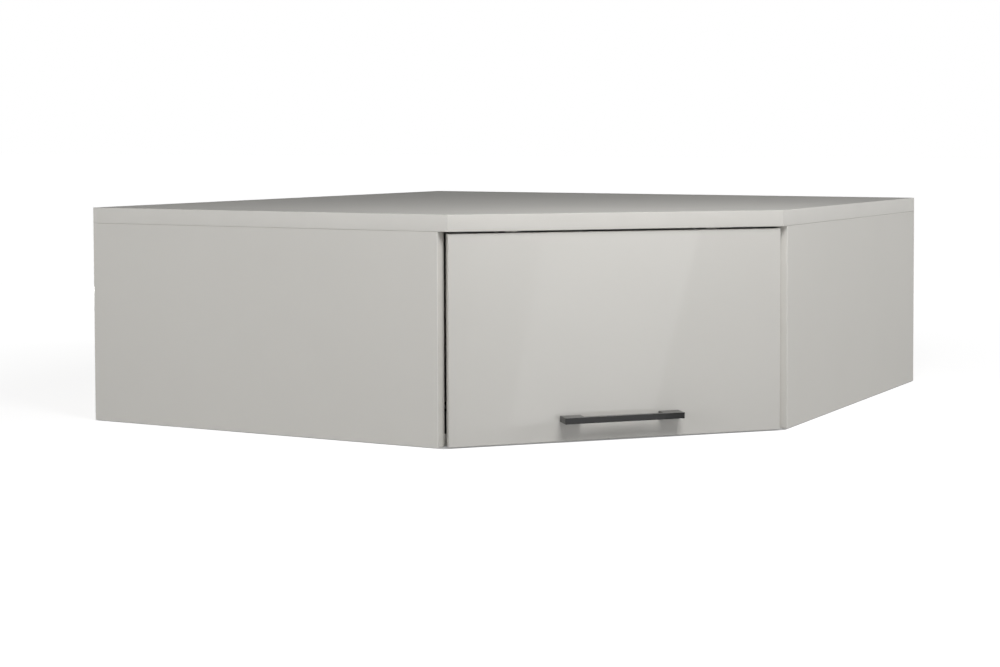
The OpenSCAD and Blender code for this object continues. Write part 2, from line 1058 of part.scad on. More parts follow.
module strut_tube_end() {
    at_strut()
        translate([0, 0, strut_len])
            rotate([180, 0, 0])
                rotate([0, 0, 180])
                    mirror([1, 0, 0])
                        rod_end();
}

module left_strut_rod() color(steel_colour) {
    strut_rod();
}

module right_strut_rod() color(steel_colour) {
    opposite()
        strut_rod();
}

module left_strut_rod_end() color(dark_colour) {
    strut_rod_end();
}

module right_strut_rod_end() color(dark_colour) {
    opposite()
        strut_rod_end();
}

module left_strut_tube() color(dark_colour) {
    strut_tube();
}

module right_strut_tube() color(dark_colour) {
    opposite()
        strut_tube();
}

module left_strut_tube_end() color(dark_colour) {
    strut_tube_end();
}

module right_strut_tube_end() color(dark_colour) {
    opposite()
        strut_tube_end();
}

// Hangers
module hanger_body() {
    difference() {
        translate([hanger_x, side_face, hook_z - hanger_down])
            cube([hanger_len, hanger_t, hanger_h]);
        translate([hanger_x - over, hanger_y - hook_w / 2 - fix_play, hook_z - fix_play])
            cube([hook_reach + over, hook_w + 2 * fix_play, hook_t + 2 * fix_play]);
        at_hanger_screws()
            translate([0, 0, -hanger_t - over])
                cylinder(r = screw_r + fix_play, h = hanger_t + 2 * over);
    }
}

module left_hanger_body() color(plastic_colour) {
    hanger_body();
}

module right_hanger_body() color(plastic_colour) {
    opposite()
        hanger_body();
}

module hanger_hook() {
    translate([0, hanger_y, 0]) {
        translate([tip_x, -hook_w / 2, hook_z])
            cube([hanger_x + hook_reach - tip_x, hook_w, hook_t]);
        translate([tip_x, -hook_w / 2, hook_z - tip_h])
            cube([tip_t, hook_w, tip_h + hook_t]);
    }
}

module left_hanger_hook() color(steel_colour) {
    hanger_hook();
}

module right_hanger_hook() color(steel_colour) {
    opposite()
        hanger_hook();
}

module wall_plate() {
    jog_z = hook_z - lip_h;
    translate([0, wall_plate_y, 0])
        difference() {
            union() {
                translate([0, -wall_plate_w / 2, wall_plate_low])
                    cube([wall_plate_t, wall_plate_w, wall_plate_h]);
                translate([0, -wall_plate_w / 2, jog_z])
                    cube([lip_x + wall_plate_t, wall_plate_w, wall_plate_t]);
                translate([lip_x, -wall_plate_w / 2, jog_z])
                    cube([wall_plate_t, wall_plate_w, lip_h]);
            }
            for (side = [-1, 1])
                translate([-over, side * wall_plate_pitch / 2,
                           wall_plate_low + (wall_plate_h - wall_plate_t) / 2])
                    rotate([0, 90, 0])
                        cylinder(r = wall_hole_r, h = wall_plate_t + 2 * over);
        }
}

module left_wall_plate() color(steel_colour) {
    wall_plate();
}

module right_wall_plate() color(steel_colour) {
    opposite()
        wall_plate();
}

module hanger_screws() color(steel_colour) {
    both()
        at_hanger_screws()
            screw(screw_r, hanger_t + screw_len, screw_head_r, screw_head_h);
}

top_panel();
bottom_panel();
left_side_panel();
right_side_panel();
corner_post();
left_back_panel();
right_back_panel();
top_edging();
bottom_edging();
left_side_edging();
right_side_edging();
top_cams();
bottom_cams();
top_cam_bolts();
bottom_cam_bolts();
cam_caps();
dowels();
post_screw();
left_hinge_plate();
right_hinge_plate();
left_hinge_arm();
right_hinge_arm();
hinge_plate_screws();
hinge_arm_screws();
left_floor_bracket();
right_floor_bracket();
floor_bracket_screws();
stud_clips();
left_hanger_body();
right_hanger_body();
left_hanger_hook();
right_hanger_hook();
left_wall_plate();
right_wall_plate();
hanger_screws();
door_panel();
door_edging();
handle();
handle_screws();
left_hinge_cup();
right_hinge_cup();
hinge_pins();
cup_screws();
left_door_bracket();
right_door_bracket();
door_bracket_screws();
door_buffers();
left_strut_rod();
left_strut_rod_end();
left_strut_tube();
left_strut_tube_end();
right_strut_rod();
right_strut_rod_end();
right_strut_tube();
right_strut_tube_end();
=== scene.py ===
import math

import bmesh
import bpy
import numpy as np
from mathutils import Matrix, Vector


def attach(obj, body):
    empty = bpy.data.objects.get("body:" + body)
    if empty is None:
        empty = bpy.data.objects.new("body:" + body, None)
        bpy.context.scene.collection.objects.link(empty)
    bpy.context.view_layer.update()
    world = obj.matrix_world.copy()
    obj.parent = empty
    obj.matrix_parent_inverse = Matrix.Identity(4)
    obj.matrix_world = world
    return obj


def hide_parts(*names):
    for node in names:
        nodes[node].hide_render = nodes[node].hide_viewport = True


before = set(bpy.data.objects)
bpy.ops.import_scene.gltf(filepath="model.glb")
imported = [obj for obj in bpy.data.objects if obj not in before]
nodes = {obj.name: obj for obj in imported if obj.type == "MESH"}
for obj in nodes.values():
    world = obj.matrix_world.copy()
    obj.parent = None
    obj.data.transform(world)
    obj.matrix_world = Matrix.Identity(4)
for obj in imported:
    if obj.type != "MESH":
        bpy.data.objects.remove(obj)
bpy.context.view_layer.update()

mm = 0.001
tiny = 1e-6

cabinet = {  # sizes in mm, as in the part's source
    "wallLength": 905,
    "sideDepth": 578,
    "height": 298,
    "topThickness": 22,
    "boardThickness": 16,
    "sideSetback": 15,
    "bandThickness": 1,
}
frontWidth = (cabinet["wallLength"] - cabinet["sideDepth"]) * math.sqrt(2)
sideHeight = cabinet["height"] - cabinet["topThickness"]
sideLength = cabinet["sideDepth"] - cabinet["sideSetback"]
sideFace = cabinet["boardThickness"] - cabinet["wallLength"]  # inner face of the left side board
pinPlace = (13, 258.5)  # the hinge pin's depth behind the top's diagonal edge, and its height
insidePoint = np.array((0.45, -0.45, 0.14))  # a place in the cabinet, which tells inwards from outwards

# The front's own frame: x along the door, y inwards, z up
frontPlace = Matrix.Translation((cabinet["sideDepth"] * mm, -cabinet["wallLength"] * mm, 0))
frontPlace = frontPlace @ Matrix.Rotation(math.radians(45), 4, "Z")
otherHalf = Matrix(((0, -1, 0, 0), (-1, 0, 0, 0), (0, 0, 1, 0), (0, 0, 0, 1)))


# Node trees
def addNode(tree, kind, inputs=None, **settings):
    made = tree.nodes.new(kind)
    for label, value in settings.items():
        setattr(made, label, value)
    for key, value in (inputs or {}).items():
        if isinstance(value, bpy.types.NodeSocket):
            tree.links.new(value, made.inputs[key])
        else:
            made.inputs[key].default_value = value
    return made


def calc(tree, operation, *values):
    return addNode(tree, "ShaderNodeMath", dict(enumerate(values)), operation=operation).outputs[0]


def vectorCalc(tree, operation, first, second):
    made = addNode(tree, "ShaderNodeVectorMath", {0: first, 1: second}, operation=operation)
    return made.outputs["Value" if operation in ("DOT_PRODUCT", "DISTANCE") else "Vector"]


# Colours and shaders
def toLinear(level):
    return level / 12.92 if level <= 0.04045 else ((level + 0.055) / 1.055) ** 2.4


def paint(red, green, blue):
    return [toLinear(level / 255) for level in (red, green, blue)] + [1]


def shaded(colour, factor):
    return [level * factor for level in colour[:3]] + [1]


def newMaterial(name, **constants):
    made = bpy.data.materials.new(name)
    made.use_nodes = True
    tree = made.node_tree
    shader = tree.nodes["Principled BSDF"]
    for label, value in constants.items():
        shader.inputs[label.replace("_", " ")].default_value = value
    place = tree.nodes.new("ShaderNodeTexCoord").outputs["Object"]
    return made, tree, shader, place


def noise(tree, place, scale, detail=2.0):
    made = addNode(tree, "ShaderNodeTexNoise", {"Vector": place, "Scale": scale, "Detail": detail})
    return made.outputs["Fac"]


def stretched(tree, place, turn, scale):
    turned = addNode(tree, "ShaderNodeMapping", {"Vector": place, "Rotation": turn})
    return addNode(tree, "ShaderNodeMapping", {"Vector": turned.outputs[0], "Scale": scale}).outputs[0]


def between(tree, value, low, high, fromLow=0.3, fromHigh=0.7):
    made = addNode(tree, "ShaderNodeMapRange", {
        "Value": value, "From Min": fromLow, "From Max": fromHigh, "To Min": low, "To Max": high})
    return made.outputs["Result"]


# A Mix node has its colours in inputs 6 and 7 and its mixed colour in output 2
def blendColours(tree, factor, first, second):
    return addNode(tree, "ShaderNodeMix", {0: factor, 6: first, 7: second}, data_type="RGBA").outputs[2]


def bump(tree, shader, height, distance):
    made = addNode(tree, "ShaderNodeBump", {"Height": height, "Distance": distance, "Strength": 1.0})
    tree.links.new(made.outputs[0], shader.inputs["Normal"])


# The printed decor, and on the faces at the walls the bare chipboard
def melamineMaterial(name, colour, roughness, grain, rawFaces=(), specular=0.12, uneven=0.04,
                     chipScale=420.0):
    made, tree, shader, place = newMaterial(name, Specular_IOR_Level=specular)
    fine = noise(tree, place, 1400, 2)
    cloud = noise(tree, place, 9, 3)
    decor = blendColours(tree, between(tree, cloud, 0, 1), shaded(colour, 0.994), shaded(colour, 1.006))
    height = calc(tree, "MULTIPLY", fine, grain)
    rough = between(tree, fine, roughness - uneven, roughness + uneven)
    if rawFaces:
        normal = tree.nodes.new("ShaderNodeTexCoord").outputs["Normal"]
        bare = 0
        for direction in rawFaces:
            facing = vectorCalc(tree, "DOT_PRODUCT", normal, direction)
            bare = calc(tree, "MAXIMUM", bare, calc(tree, "GREATER_THAN", facing, 0.5))
        chips = addNode(tree, "ShaderNodeTexVoronoi", {"Vector": place, "Scale": chipScale})
        chip = addNode(tree, "ShaderNodeSeparateColor", {"Color": chips.outputs["Color"]}).outputs[0]
        wood = blendColours(tree, chip, paint(176, 145, 104), paint(214, 188, 146))
        specks = between(tree, noise(tree, place, 700, 3), 0, 0.6, 0.45, 0.7)
        wood = blendColours(tree, specks, wood, paint(120, 92, 60))
        decor = blendColours(tree, bare, decor, wood)
        rough = calc(tree, "MAXIMUM", rough, calc(tree, "MULTIPLY", bare, 0.85))
        raisedChips = calc(tree, "MULTIPLY", chip, calc(tree, "MULTIPLY", bare, 3.0))
        height = calc(tree, "ADD", height, raisedChips)
    tree.links.new(decor, shader.inputs["Base Color"])
    tree.links.new(rough, shader.inputs["Roughness"])
    bump(tree, shader, height, 0.00006)
    return made


def metalMaterial(name, colour, roughness, turn=(0, 0, 0), stretch=(300, 300, 300), depth=0.00001):
    made, tree, shader, place = newMaterial(name, Metallic=1.0)
    streaks = noise(tree, stretched(tree, place, turn, stretch), 1.0, 3)
    tone = blendColours(tree, between(tree, streaks, 0, 1), shaded(colour, 0.9), shaded(colour, 1.08))
    tree.links.new(tone, shader.inputs["Base Color"])
    tree.links.new(between(tree, streaks, roughness - 0.06, roughness + 0.06), shader.inputs["Roughness"])
    bump(tree, shader, streaks, depth)
    return made


def plasticMaterial(name, colour, roughness, texture, depth=0.00003, uneven=0.05, **constants):
    made, tree, shader, place = newMaterial(name, **constants)
    fine = noise(tree, place, texture, 2)
    tone = blendColours(tree, between(tree, noise(tree, place, 25), 0, 1),
                        shaded(colour, 0.985), shaded(colour, 1.01))
    tree.links.new(tone, shader.inputs["Base Color"])
    tree.links.new(between(tree, fine, roughness - uneven, roughness + uneven), shader.inputs["Roughness"])
    bump(tree, shader, fine, depth)
    return made


def edgingMaterial(name, colour):
    return plasticMaterial(name, colour, 0.5, 900, depth=0.000002, uneven=0.01, Specular_IOR_Level=0.3)


# Lacquered inside, and bare fibres towards the wall
def hardboardMaterial(name, colour, roughness, rawFaces):
    return melamineMaterial(name, colour, roughness, 0.4, rawFaces, chipScale=1600.0)


def beechMaterial(name):
    made, tree, shader, place = newMaterial(name, Roughness=0.6)
    grain = noise(tree, stretched(tree, place, (0, 0, 0), (900, 900, 60)), 1.0, 4)
    tone = blendColours(tree, between(tree, grain, 0, 1), paint(188, 150, 104), paint(222, 190, 146))
    tree.links.new(tone, shader.inputs["Base Color"])
    bump(tree, shader, grain, 0.00004)
    return made


finish = {
    "decor": paint(205, 203, 198),
    "edging": paint(203, 201, 196),
    # painted light: the side boards' edging is a lighter copy of the other edging, standing in for light
    # that its front ends lack
    "sideEdgingPaintedLight": paint(216, 214, 209),
    "doorDecor": paint(201, 199, 194),
    "handle": paint(48, 48, 48),
    "zinc": paint(186, 188, 190),
    "nickel": paint(205, 202, 196),
    "chrome": paint(214, 216, 218),
    "blackPaint": paint(34, 34, 36),
    "whitePlastic": paint(226, 226, 222),
    "blackPlastic": paint(30, 30, 32),
    "clearPlastic": paint(236, 238, 240),
}
alongDoor = (0, 0, math.radians(-45))
leftWall, rightWall = (-1, 0, 0), (0, 1, 0)  # which way a face at either wall points
materials = {
    "board": melamineMaterial("warmGreyBoard", finish["decor"], 0.62, 0.5, [leftWall, rightWall]),
    "leftBoard": melamineMaterial("warmGreyLeftBoard", finish["decor"], 0.62, 0.5, [leftWall]),
    "rightBoard": melamineMaterial("warmGreyRightBoard", finish["decor"], 0.62, 0.5, [rightWall]),
    "back": hardboardMaterial("lacqueredHardboard", finish["decor"], 0.5, [leftWall, rightWall]),
    "door": melamineMaterial("semiGlossDoor", finish["doorDecor"], 0.035, 0.003,
                             specular=0.5, uneven=0.01),
    "edging": edgingMaterial("boardEdging", finish["edging"]),
    # painted light: the lighter side edging stands in for light on the side boards' front ends
    "sideEdgingPaintedLight": edgingMaterial("sideBoardEdgingPaintedLight", finish["sideEdgingPaintedLight"]),
    "doorEdging": plasticMaterial("doorEdging", finish["doorDecor"], 0.28, 900,
                                  depth=0.000001, uneven=0.01),
    "handle": metalMaterial("brushedAnthracite", finish["handle"], 0.18, alongDoor,
                            stretch=(25, 2600, 2600), depth=0.000003),
    "zinc": metalMaterial("zincPlatedSteel", finish["zinc"], 0.34),
    "nickel": metalMaterial("nickelPlatedSteel", finish["nickel"], 0.2, depth=0.000004),
    "chrome": metalMaterial("polishedRod", finish["chrome"], 0.12, stretch=(900, 900, 20), depth=0.000002),
    "tube": plasticMaterial("blackTubePaint", finish["blackPaint"], 0.32, 700, depth=0.00001),
    "rodEnd": plasticMaterial("blackNylon", finish["blackPlastic"], 0.5, 900),
    "hanger": plasticMaterial("whiteNylon", finish["whitePlastic"], 0.45, 900),
    "cap": plasticMaterial("capPlastic", finish["decor"], 0.38, 900, depth=0.00001),
    "buffer": plasticMaterial("clearBuffer", finish["clearPlastic"], 0.25, 500, depth=0.00001,
                              Transmission_Weight=0.6, IOR=1.45),
    "beech": beechMaterial("beechDowel"),
}
print("materials:", len(materials))


# Pieces: each gets its body and the nodes it stands for. Edges that turn more than the
# first angle stay sharp, and those that turn more than the second are rounded where a piece asks it.
sharpAngle, roundedAngle = math.radians(35), math.radians(40)


def finishPiece(name, mesh, material, body, replaced=(), bevel=0, segments=2):
    piece = bpy.data.objects.new(name, mesh)
    bpy.context.scene.collection.objects.link(piece)
    if material:
        mesh.materials.clear()
        mesh.materials.append(materials[material])
    mesh.shade_smooth()
    mesh.set_sharp_from_angle(angle=sharpAngle)
    if bevel:
        rounding = piece.modifiers.new("edges", "BEVEL")
        rounding.width = bevel * mm
        rounding.segments = segments
        rounding.limit_method = "ANGLE"
        rounding.angle_limit = roundedAngle
        rounding.harden_normals = True
    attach(piece, body)
    if replaced:
        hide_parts(*replaced)


def meshFrom(bm, name, place=None, flip=False):
    if place is not None:
        bmesh.ops.transform(bm, matrix=place, verts=bm.verts)
    if flip:
        bmesh.ops.reverse_faces(bm, faces=bm.faces)
    mesh = bpy.data.meshes.new(name)
    bm.to_mesh(mesh)
    bm.free()
    return mesh


# The profile holds (radius, height) pairs in mm. A closed one makes a ring.
def addLathe(bm, profile, segments=40, place=None, closed=False):
    rings = []
    for radius, height in profile:
        if radius < tiny:
            rings.append([bm.verts.new((0, 0, height * mm))])
            continue
        angles = [2 * math.pi * i / segments for i in range(segments)]
        rings.append([bm.verts.new((radius * mm * math.cos(a), radius * mm * math.sin(a), height * mm))
                      for a in angles])
    pairs = list(zip(rings, rings[1:] + rings[:1])) if closed else list(zip(rings, rings[1:]))
    faces = []
    for low, high in pairs:
        for i in range(segments):
            j = (i + 1) % segments
            corners = [low[i % len(low)], low[j % len(low)], high[j % len(high)], high[i % len(high)]]
            faces.append(bm.faces.new(list(dict.fromkeys(corners))))
    made = [v for ring in rings for v in ring]
    bmesh.ops.recalc_face_normals(bm, faces=faces)
    if place is not None:
        bmesh.ops.transform(bm, matrix=place, verts=made)


# The right half is the left one reflected in the diagonal, so its faces are turned back
def inBothHalves(build):
    for side, place, flip in (("left", Matrix(), False), ("right", otherHalf, True)):
        build(side, place, flip)


# A copy of a node's solids with their loose triangles joined
def solidMesh(node):
    bm = bmesh.new()
    bm.from_mesh(nodes[node].data)
    bmesh.ops.remove_doubles(bm, verts=bm.verts, dist=0.002 * mm)
    return bm


# A fitting made from its solid, with its sheared or moulded edges rounded
def softened(name, node, body, material, bevel):
    bm = solidMesh(node)
    bmesh.ops.dissolve_limit(bm, angle_limit=math.radians(0.5), verts=bm.verts, edges=bm.edges)
    finishPiece(name, meshFrom(bm, name), material, body, [node], bevel)


# A plain mesh of what a tree of Geometry Nodes makes of the start mesh
def grownMesh(name, start, tree, values):
    source = bpy.data.objects.new(name, start)
    bpy.context.scene.collection.objects.link(source)
    modifier = source.modifiers.new(name, "NODES")
    modifier.node_group = tree
    for item in tree.interface.items_tree:
        if item.item_type == "SOCKET" and item.in_out == "INPUT" and item.name in values:
            modifier[item.identifier] = values[item.name]
    seen = source.evaluated_get(bpy.context.evaluated_depsgraph_get())
    mesh = bpy.data.meshes.new_from_object(seen)
    source.modifiers.clear()
    bpy.data.objects.remove(source)
    return mesh


def newTree(name, sizes):
    tree = bpy.data.node_groups.new(name, "GeometryNodeTree")
    tree.interface.new_socket("Geometry", in_out="INPUT", socket_type="NodeSocketGeometry")
    for label, value in sizes.items():
        kind = "NodeSocketInt" if isinstance(value, int) else "NodeSocketFloat"
        tree.interface.new_socket(label, in_out="INPUT", socket_type=kind).default_value = value
    tree.interface.new_socket("Material", in_out="INPUT", socket_type="NodeSocketMaterial")
    tree.interface.new_socket("Geometry", in_out="OUTPUT", socket_type="NodeSocketGeometry")
    given = tree.nodes.new("NodeGroupInput").outputs
    return tree, given


def endTree(tree, given, geometry):
    whole = addNode(tree, "GeometryNodeRealizeInstances", {"Geometry": geometry})
    painted = addNode(tree, "GeometryNodeSetMaterial", {
        "Geometry": whole.outputs[0], "Material": given["Material"]})
    addNode(tree, "NodeGroupOutput", {"Geometry": painted.outputs[0]})
    return tree


# Edging follows the outline of a board. The path runs with the board on its left, along the
# board's upper face, and holds how far each corner stretches the mitre.
def edgingTree():
    tree, given = newTree("edging", {"Thickness": 0.001, "Width": 0.016, "Arris": 0.0009, "Steps": 4})
    path = addNode(tree, "GeometryNodeMeshToCurve", {"Mesh": given["Geometry"]})
    path = addNode(tree, "GeometryNodeSetCurveNormal", {"Curve": path.outputs[0]}, mode="Z_UP")
    here = tree.nodes.new("GeometryNodeInputPosition").outputs[0]
    path = addNode(tree, "GeometryNodeStoreNamedAttribute", {
        "Geometry": path.outputs[0], "Name": "spine", "Value": here}, data_type="FLOAT_VECTOR")
    inner = calc(tree, "MULTIPLY", given["Thickness"], -1.0)
    corners = {}
    for label, x, y in (("Point 1", 0.0, 0.0), ("Point 2", 0.0, given["Width"]),
                        ("Point 3", inner, given["Width"]), ("Point 4", inner, 0.0)):
        corners[label] = addNode(tree, "ShaderNodeCombineXYZ", {"X": x, "Y": y}).outputs[0]
    section = addNode(tree, "GeometryNodeCurvePrimitiveQuadrilateral", corners, mode="POINTS")
    place = tree.nodes.new("GeometryNodeInputIndex").outputs[0]
    outer = calc(tree, "LESS_THAN", place, 1.5)
    section = addNode(tree, "GeometryNodeFilletCurve", {
        "Curve": section.outputs[0], "Count": given["Steps"],
        "Radius": calc(tree, "MULTIPLY", outer, given["Arris"])}, mode="POLY")
    strip = addNode(tree, "GeometryNodeCurveToMesh", {
        "Curve": path.outputs[0], "Profile Curve": section.outputs[0], "Fill Caps": True})
    spine = addNode(tree, "GeometryNodeInputNamedAttribute", {"Name": "spine"},
                    data_type="FLOAT_VECTOR").outputs[0]
    mitre = addNode(tree, "GeometryNodeInputNamedAttribute", {"Name": "mitre"},
                    data_type="FLOAT").outputs[0]
    widen = addNode(tree, "ShaderNodeCombineXYZ", {"X": mitre, "Y": mitre, "Z": 1.0}).outputs[0]
    reach = vectorCalc(tree, "MULTIPLY", vectorCalc(tree, "SUBTRACT", here, spine), widen)
    strip = addNode(tree, "GeometryNodeSetPosition", {
        "Geometry": strip.outputs[0], "Position": vectorCalc(tree, "ADD", spine, reach)})
    strip = addNode(tree, "GeometryNodeMergeByDistance", {
        "Geometry": strip.outputs[0], "Distance": 0.00001})
    return endTree(tree, given, strip.outputs[0])


edgingNodes = edgingTree()


def edgingMesh(name, path, closed, width, place, flip):
    path = [Vector(p) * mm for p in path]
    count = len(path)
    mitres = []
    for i, point in enumerate(path):
        if not closed and i in (0, count - 1):
            mitres.append(1.0)
            continue
        turn = (point - path[i - 1]).angle(path[(i + 1) % count] - point)
        mitres.append(1 / math.cos(turn / 2))
    start = bpy.data.meshes.new(name)
    joins = [(i, (i + 1) % count) for i in range(count if closed else count - 1)]
    start.from_pydata(path, joins, [])
    start.attributes.new("mitre", "FLOAT", "POINT").data.foreach_set("value", mitres)
    mesh = grownMesh(name, start, edgingNodes, {
        "Thickness": cabinet["bandThickness"] * mm, "Width": width * mm, "Material": materials["edging"]})
    bm = bmesh.new()
    bm.from_mesh(mesh)
    bmesh.ops.recalc_face_normals(bm, faces=bm.faces)
    return meshFrom(bm, name, place, flip)


long, deep = cabinet["wallLength"], cabinet["sideDepth"]
board = cabinet["boardThickness"]
high = cabinet["height"]
topPath = [(0, -long, high), (deep, -long, high), (long, -deep, high), (long, 0, high)]
topBand = edgingMesh("topEdgeBand", topPath, False, cabinet["topThickness"], Matrix(), False)
finishPiece("topEdgeBand", topBand, "edging", "carcass", ["top_edging"])

# Up along the front end of the left side board
alongSide = Matrix(((0, -1, 0, sideLength * mm), (0, 0, -1, -long * mm), (1, 0, 0, 0), (0, 0, 0, 1)))


def sideBand(side, half, flip):
    name = side + "SideEdgeBand"
    mesh = edgingMesh(name, [(0, 0, 0), (sideHeight, 0, 0)], False, board, half @ alongSide, flip)
    # the side edging's lighter tone is painted light
    finishPiece(name, mesh, "sideEdgingPaintedLight", "carcass", [side + "_side_edging"])


inBothHalves(sideBand)

door = {"sideGap": 2.2, "backGap": 1.8, "recess": 5, "thickness": 16, "low": 0.5, "high": 273.5}
bottomRecess = door["recess"] + door["thickness"] + door["backGap"]
near = long + deep - math.sqrt(2) * bottomRecess + sideFace  # where its front edge meets the side board
bottomPath = [(near, sideFace, board), (-sideFace, -near, board)]
bottomBand = edgingMesh("bottomEdgeBand", bottomPath, False, board, Matrix(), False)
finishPiece("bottomEdgeBand", bottomBand, "edging", "carcass", ["bottom_edging"])

# Over the door's face: x along it, y up, z outwards
facing = frontPlace @ Matrix(((1, 0, 0, 0), (0, 0, -1, 0), (0, 1, 0, 0), (0, 0, 0, 1)))
doorLeft, doorRight = door["sideGap"], frontWidth - door["sideGap"]
doorPath = [(doorLeft, door["low"], -door["recess"]), (doorRight, door["low"], -door["recess"]),
            (doorRight, door["high"], -door["recess"]), (doorLeft, door["high"], -door["recess"])]
doorBand = edgingMesh("doorEdgeBand", doorPath, True, door["thickness"], facing, False)
finishPiece("doorEdgeBand", doorBand, "doorEdging", "flap", ["door_edging"])
print("edging: 5 bands")


# Handle: a square bar with two wide feet, cut from one bar
handle = {"length": 164, "height": 8, "stand": 25.5, "barDepth": 8, "footWidth": 28, "centreUp": 30.5,
          "arris": 0.5}
end, stand, depth, foot = (handle[key] for key in ("length", "stand", "barDepth", "footWidth"))
outline = [(0, 0), (end, 0), (end, stand), (end - foot, stand), (end - foot, depth),
           (foot, depth), (foot, stand), (0, stand)]
bm = bmesh.new()
base = bm.faces.new([bm.verts.new((x * mm, y * mm, 0)) for x, y in outline])
raised = bmesh.ops.extrude_face_region(bm, geom=[base])
bmesh.ops.translate(bm, vec=(0, 0, handle["height"] * mm),
                    verts=[v for v in raised["geom"] if isinstance(v, bmesh.types.BMVert)])
bmesh.ops.recalc_face_normals(bm, faces=bm.faces)
handlePlace = frontPlace @ Matrix.Translation((
    (frontWidth - handle["length"]) / 2 * mm, (door["recess"] - handle["stand"]) * mm,
    (handle["centreUp"] - handle["height"] / 2) * mm))
finishPiece("barHandle", meshFrom(bm, "barHandle", handlePlace), "handle", "flap",
            ["handle"], handle["arris"], 3)
print("handle")


# What screws and discs share: the distance from the axis, a lift, and a copy at each point
def fromAxis(tree, parts):
    squares = [calc(tree, "MULTIPLY", parts[i], parts[i]) for i in (0, 1)]
    return calc(tree, "SQRT", calc(tree, "ADD", *squares))


def lifted(tree, part, height):
    up = addNode(tree, "ShaderNodeCombineXYZ", {"Z": height})
    return addNode(tree, "GeometryNodeTransform", {
        "Geometry": part.outputs[0], "Translation": up.outputs[0]})


def scattered(tree, given, unit):
    aim = addNode(tree, "GeometryNodeInputNamedAttribute", {"Name": "aim"}, data_type="FLOAT_VECTOR")
    turn = addNode(tree, "FunctionNodeAlignRotationToVector", {"Vector": aim.outputs[0]}, axis="Z")
    placed = addNode(tree, "GeometryNodeInstanceOnPoints", {
        "Points": given["Geometry"], "Instance": unit, "Rotation": turn.outputs[0]})
    return placed.outputs[0]


# A disc from z = 0 up, whose upper face falls by an amount that depends on the distance from its axis
def roundedDisc(tree, parts, sizes, radius, height, fall):
    disc = addNode(tree, "GeometryNodeMeshCylinder", {
        "Side Segments": 1, "Radius": radius, "Depth": height, **sizes}, fill_type="TRIANGLE_FAN")
    halfHeight = calc(tree, "MULTIPLY", height, 0.5)
    return addNode(tree, "GeometryNodeSetPosition", {
        "Geometry": lifted(tree, disc, halfHeight).outputs[0],
        "Selection": calc(tree, "GREATER_THAN", parts[2], halfHeight),
        "Offset": addNode(tree, "ShaderNodeCombineXYZ", {"Z": fall}).outputs[0]})


def screwHead(tree, given, parts):
    radius, height = given["Head radius"], given["Head height"]
    share = calc(tree, "DIVIDE", fromAxis(tree, parts), radius)
    fall = calc(tree, "MULTIPLY", calc(tree, "POWER", share, 3.0), calc(tree, "MULTIPLY", height, -0.45))
    head = roundedDisc(tree, parts, {"Vertices": 32, "Fill Segments": 6}, radius, height, fall)
    recessed = addNode(tree, "GeometryNodeMeshBoolean", {"Mesh 1": head.outputs[0]},
                       operation="DIFFERENCE", solver="EXACT")
    arm = calc(tree, "MULTIPLY", radius, 1.15)
    for wide, tall in ((arm, given["Recess"]), (given["Recess"], arm)):
        size = addNode(tree, "ShaderNodeCombineXYZ", {"X": wide, "Y": tall, "Z": height})
        cutter = lifted(tree, addNode(tree, "GeometryNodeMeshCube", {"Size": size.outputs[0]}), height)
        tree.links.new(cutter.outputs[0], recessed.inputs["Mesh 2"])
    return recessed


def screwShank(tree, given, here, parts):
    shank = addNode(tree, "GeometryNodeMeshCylinder", {
        "Vertices": 12, "Side Segments": 48, "Radius": given["Shank radius"], "Depth": given["Length"]})
    shank = lifted(tree, shank, calc(tree, "MULTIPLY", given["Length"], -0.5))
    turned = calc(tree, "DIVIDE", calc(tree, "ARCTAN2", parts[1], parts[0]), 2 * math.pi)
    phase = calc(tree, "ADD", calc(tree, "DIVIDE", parts[2], given["Pitch"]), turned)
    groove = calc(tree, "PINGPONG", phase, 0.5)
    narrow = calc(tree, "SUBTRACT", 1.0, calc(tree, "MULTIPLY", groove, 0.5))
    scale = addNode(tree, "ShaderNodeCombineXYZ", {"X": narrow, "Y": narrow, "Z": 1.0}).outputs[0]
    return addNode(tree, "GeometryNodeSetPosition", {
        "Geometry": shank.outputs[0], "Position": vectorCalc(tree, "MULTIPLY", here, scale)})


# Screws: a domed head with a cross recess, and a threaded shank
def screwTree():
    tree, given = newTree("screws", {
        "Head radius": 0.0035, "Head height": 0.002, "Shank radius": 0.00175, "Length": 0.012,
        "Pitch": 0.0014, "Recess": 0.0007})
    here = tree.nodes.new("GeometryNodeInputPosition").outputs[0]
    parts = addNode(tree, "ShaderNodeSeparateXYZ", {0: here}).outputs
    whole = addNode(tree, "GeometryNodeJoinGeometry")
    for piece in (screwShank(tree, given, here, parts), screwHead(tree, given, parts)):
        tree.links.new(piece.outputs[0], whole.inputs[0])
    return endTree(tree, given, scattered(tree, given, whole.outputs[0]))


# Caps and buffers: a low dome, on a rim or rounded off at its edge
def discTree():
    tree, given = newTree("discs", {"Radius": 0.0086, "Height": 0.001, "Dome": 0.0004, "Edge": 0.0004})
    here = tree.nodes.new("GeometryNodeInputPosition").outputs[0]
    parts = addNode(tree, "ShaderNodeSeparateXYZ", {0: here}).outputs
    share = calc(tree, "DIVIDE", fromAxis(tree, parts), given["Radius"])
    crown = calc(tree, "SUBTRACT", calc(tree, "POWER", share, 2.0), 1.0)
    dome = calc(tree, "MULTIPLY", crown, given["Dome"])
    edge = calc(tree, "MULTIPLY", calc(tree, "POWER", share, 12.0), given["Edge"])
    fall = calc(tree, "MULTIPLY", calc(tree, "ADD", dome, edge), -1.0)
    shaped = roundedDisc(tree, parts, {"Vertices": 48, "Fill Segments": 10}, given["Radius"],
                         given["Height"], fall)
    return endTree(tree, given, scattered(tree, given, shaped.outputs[0]))


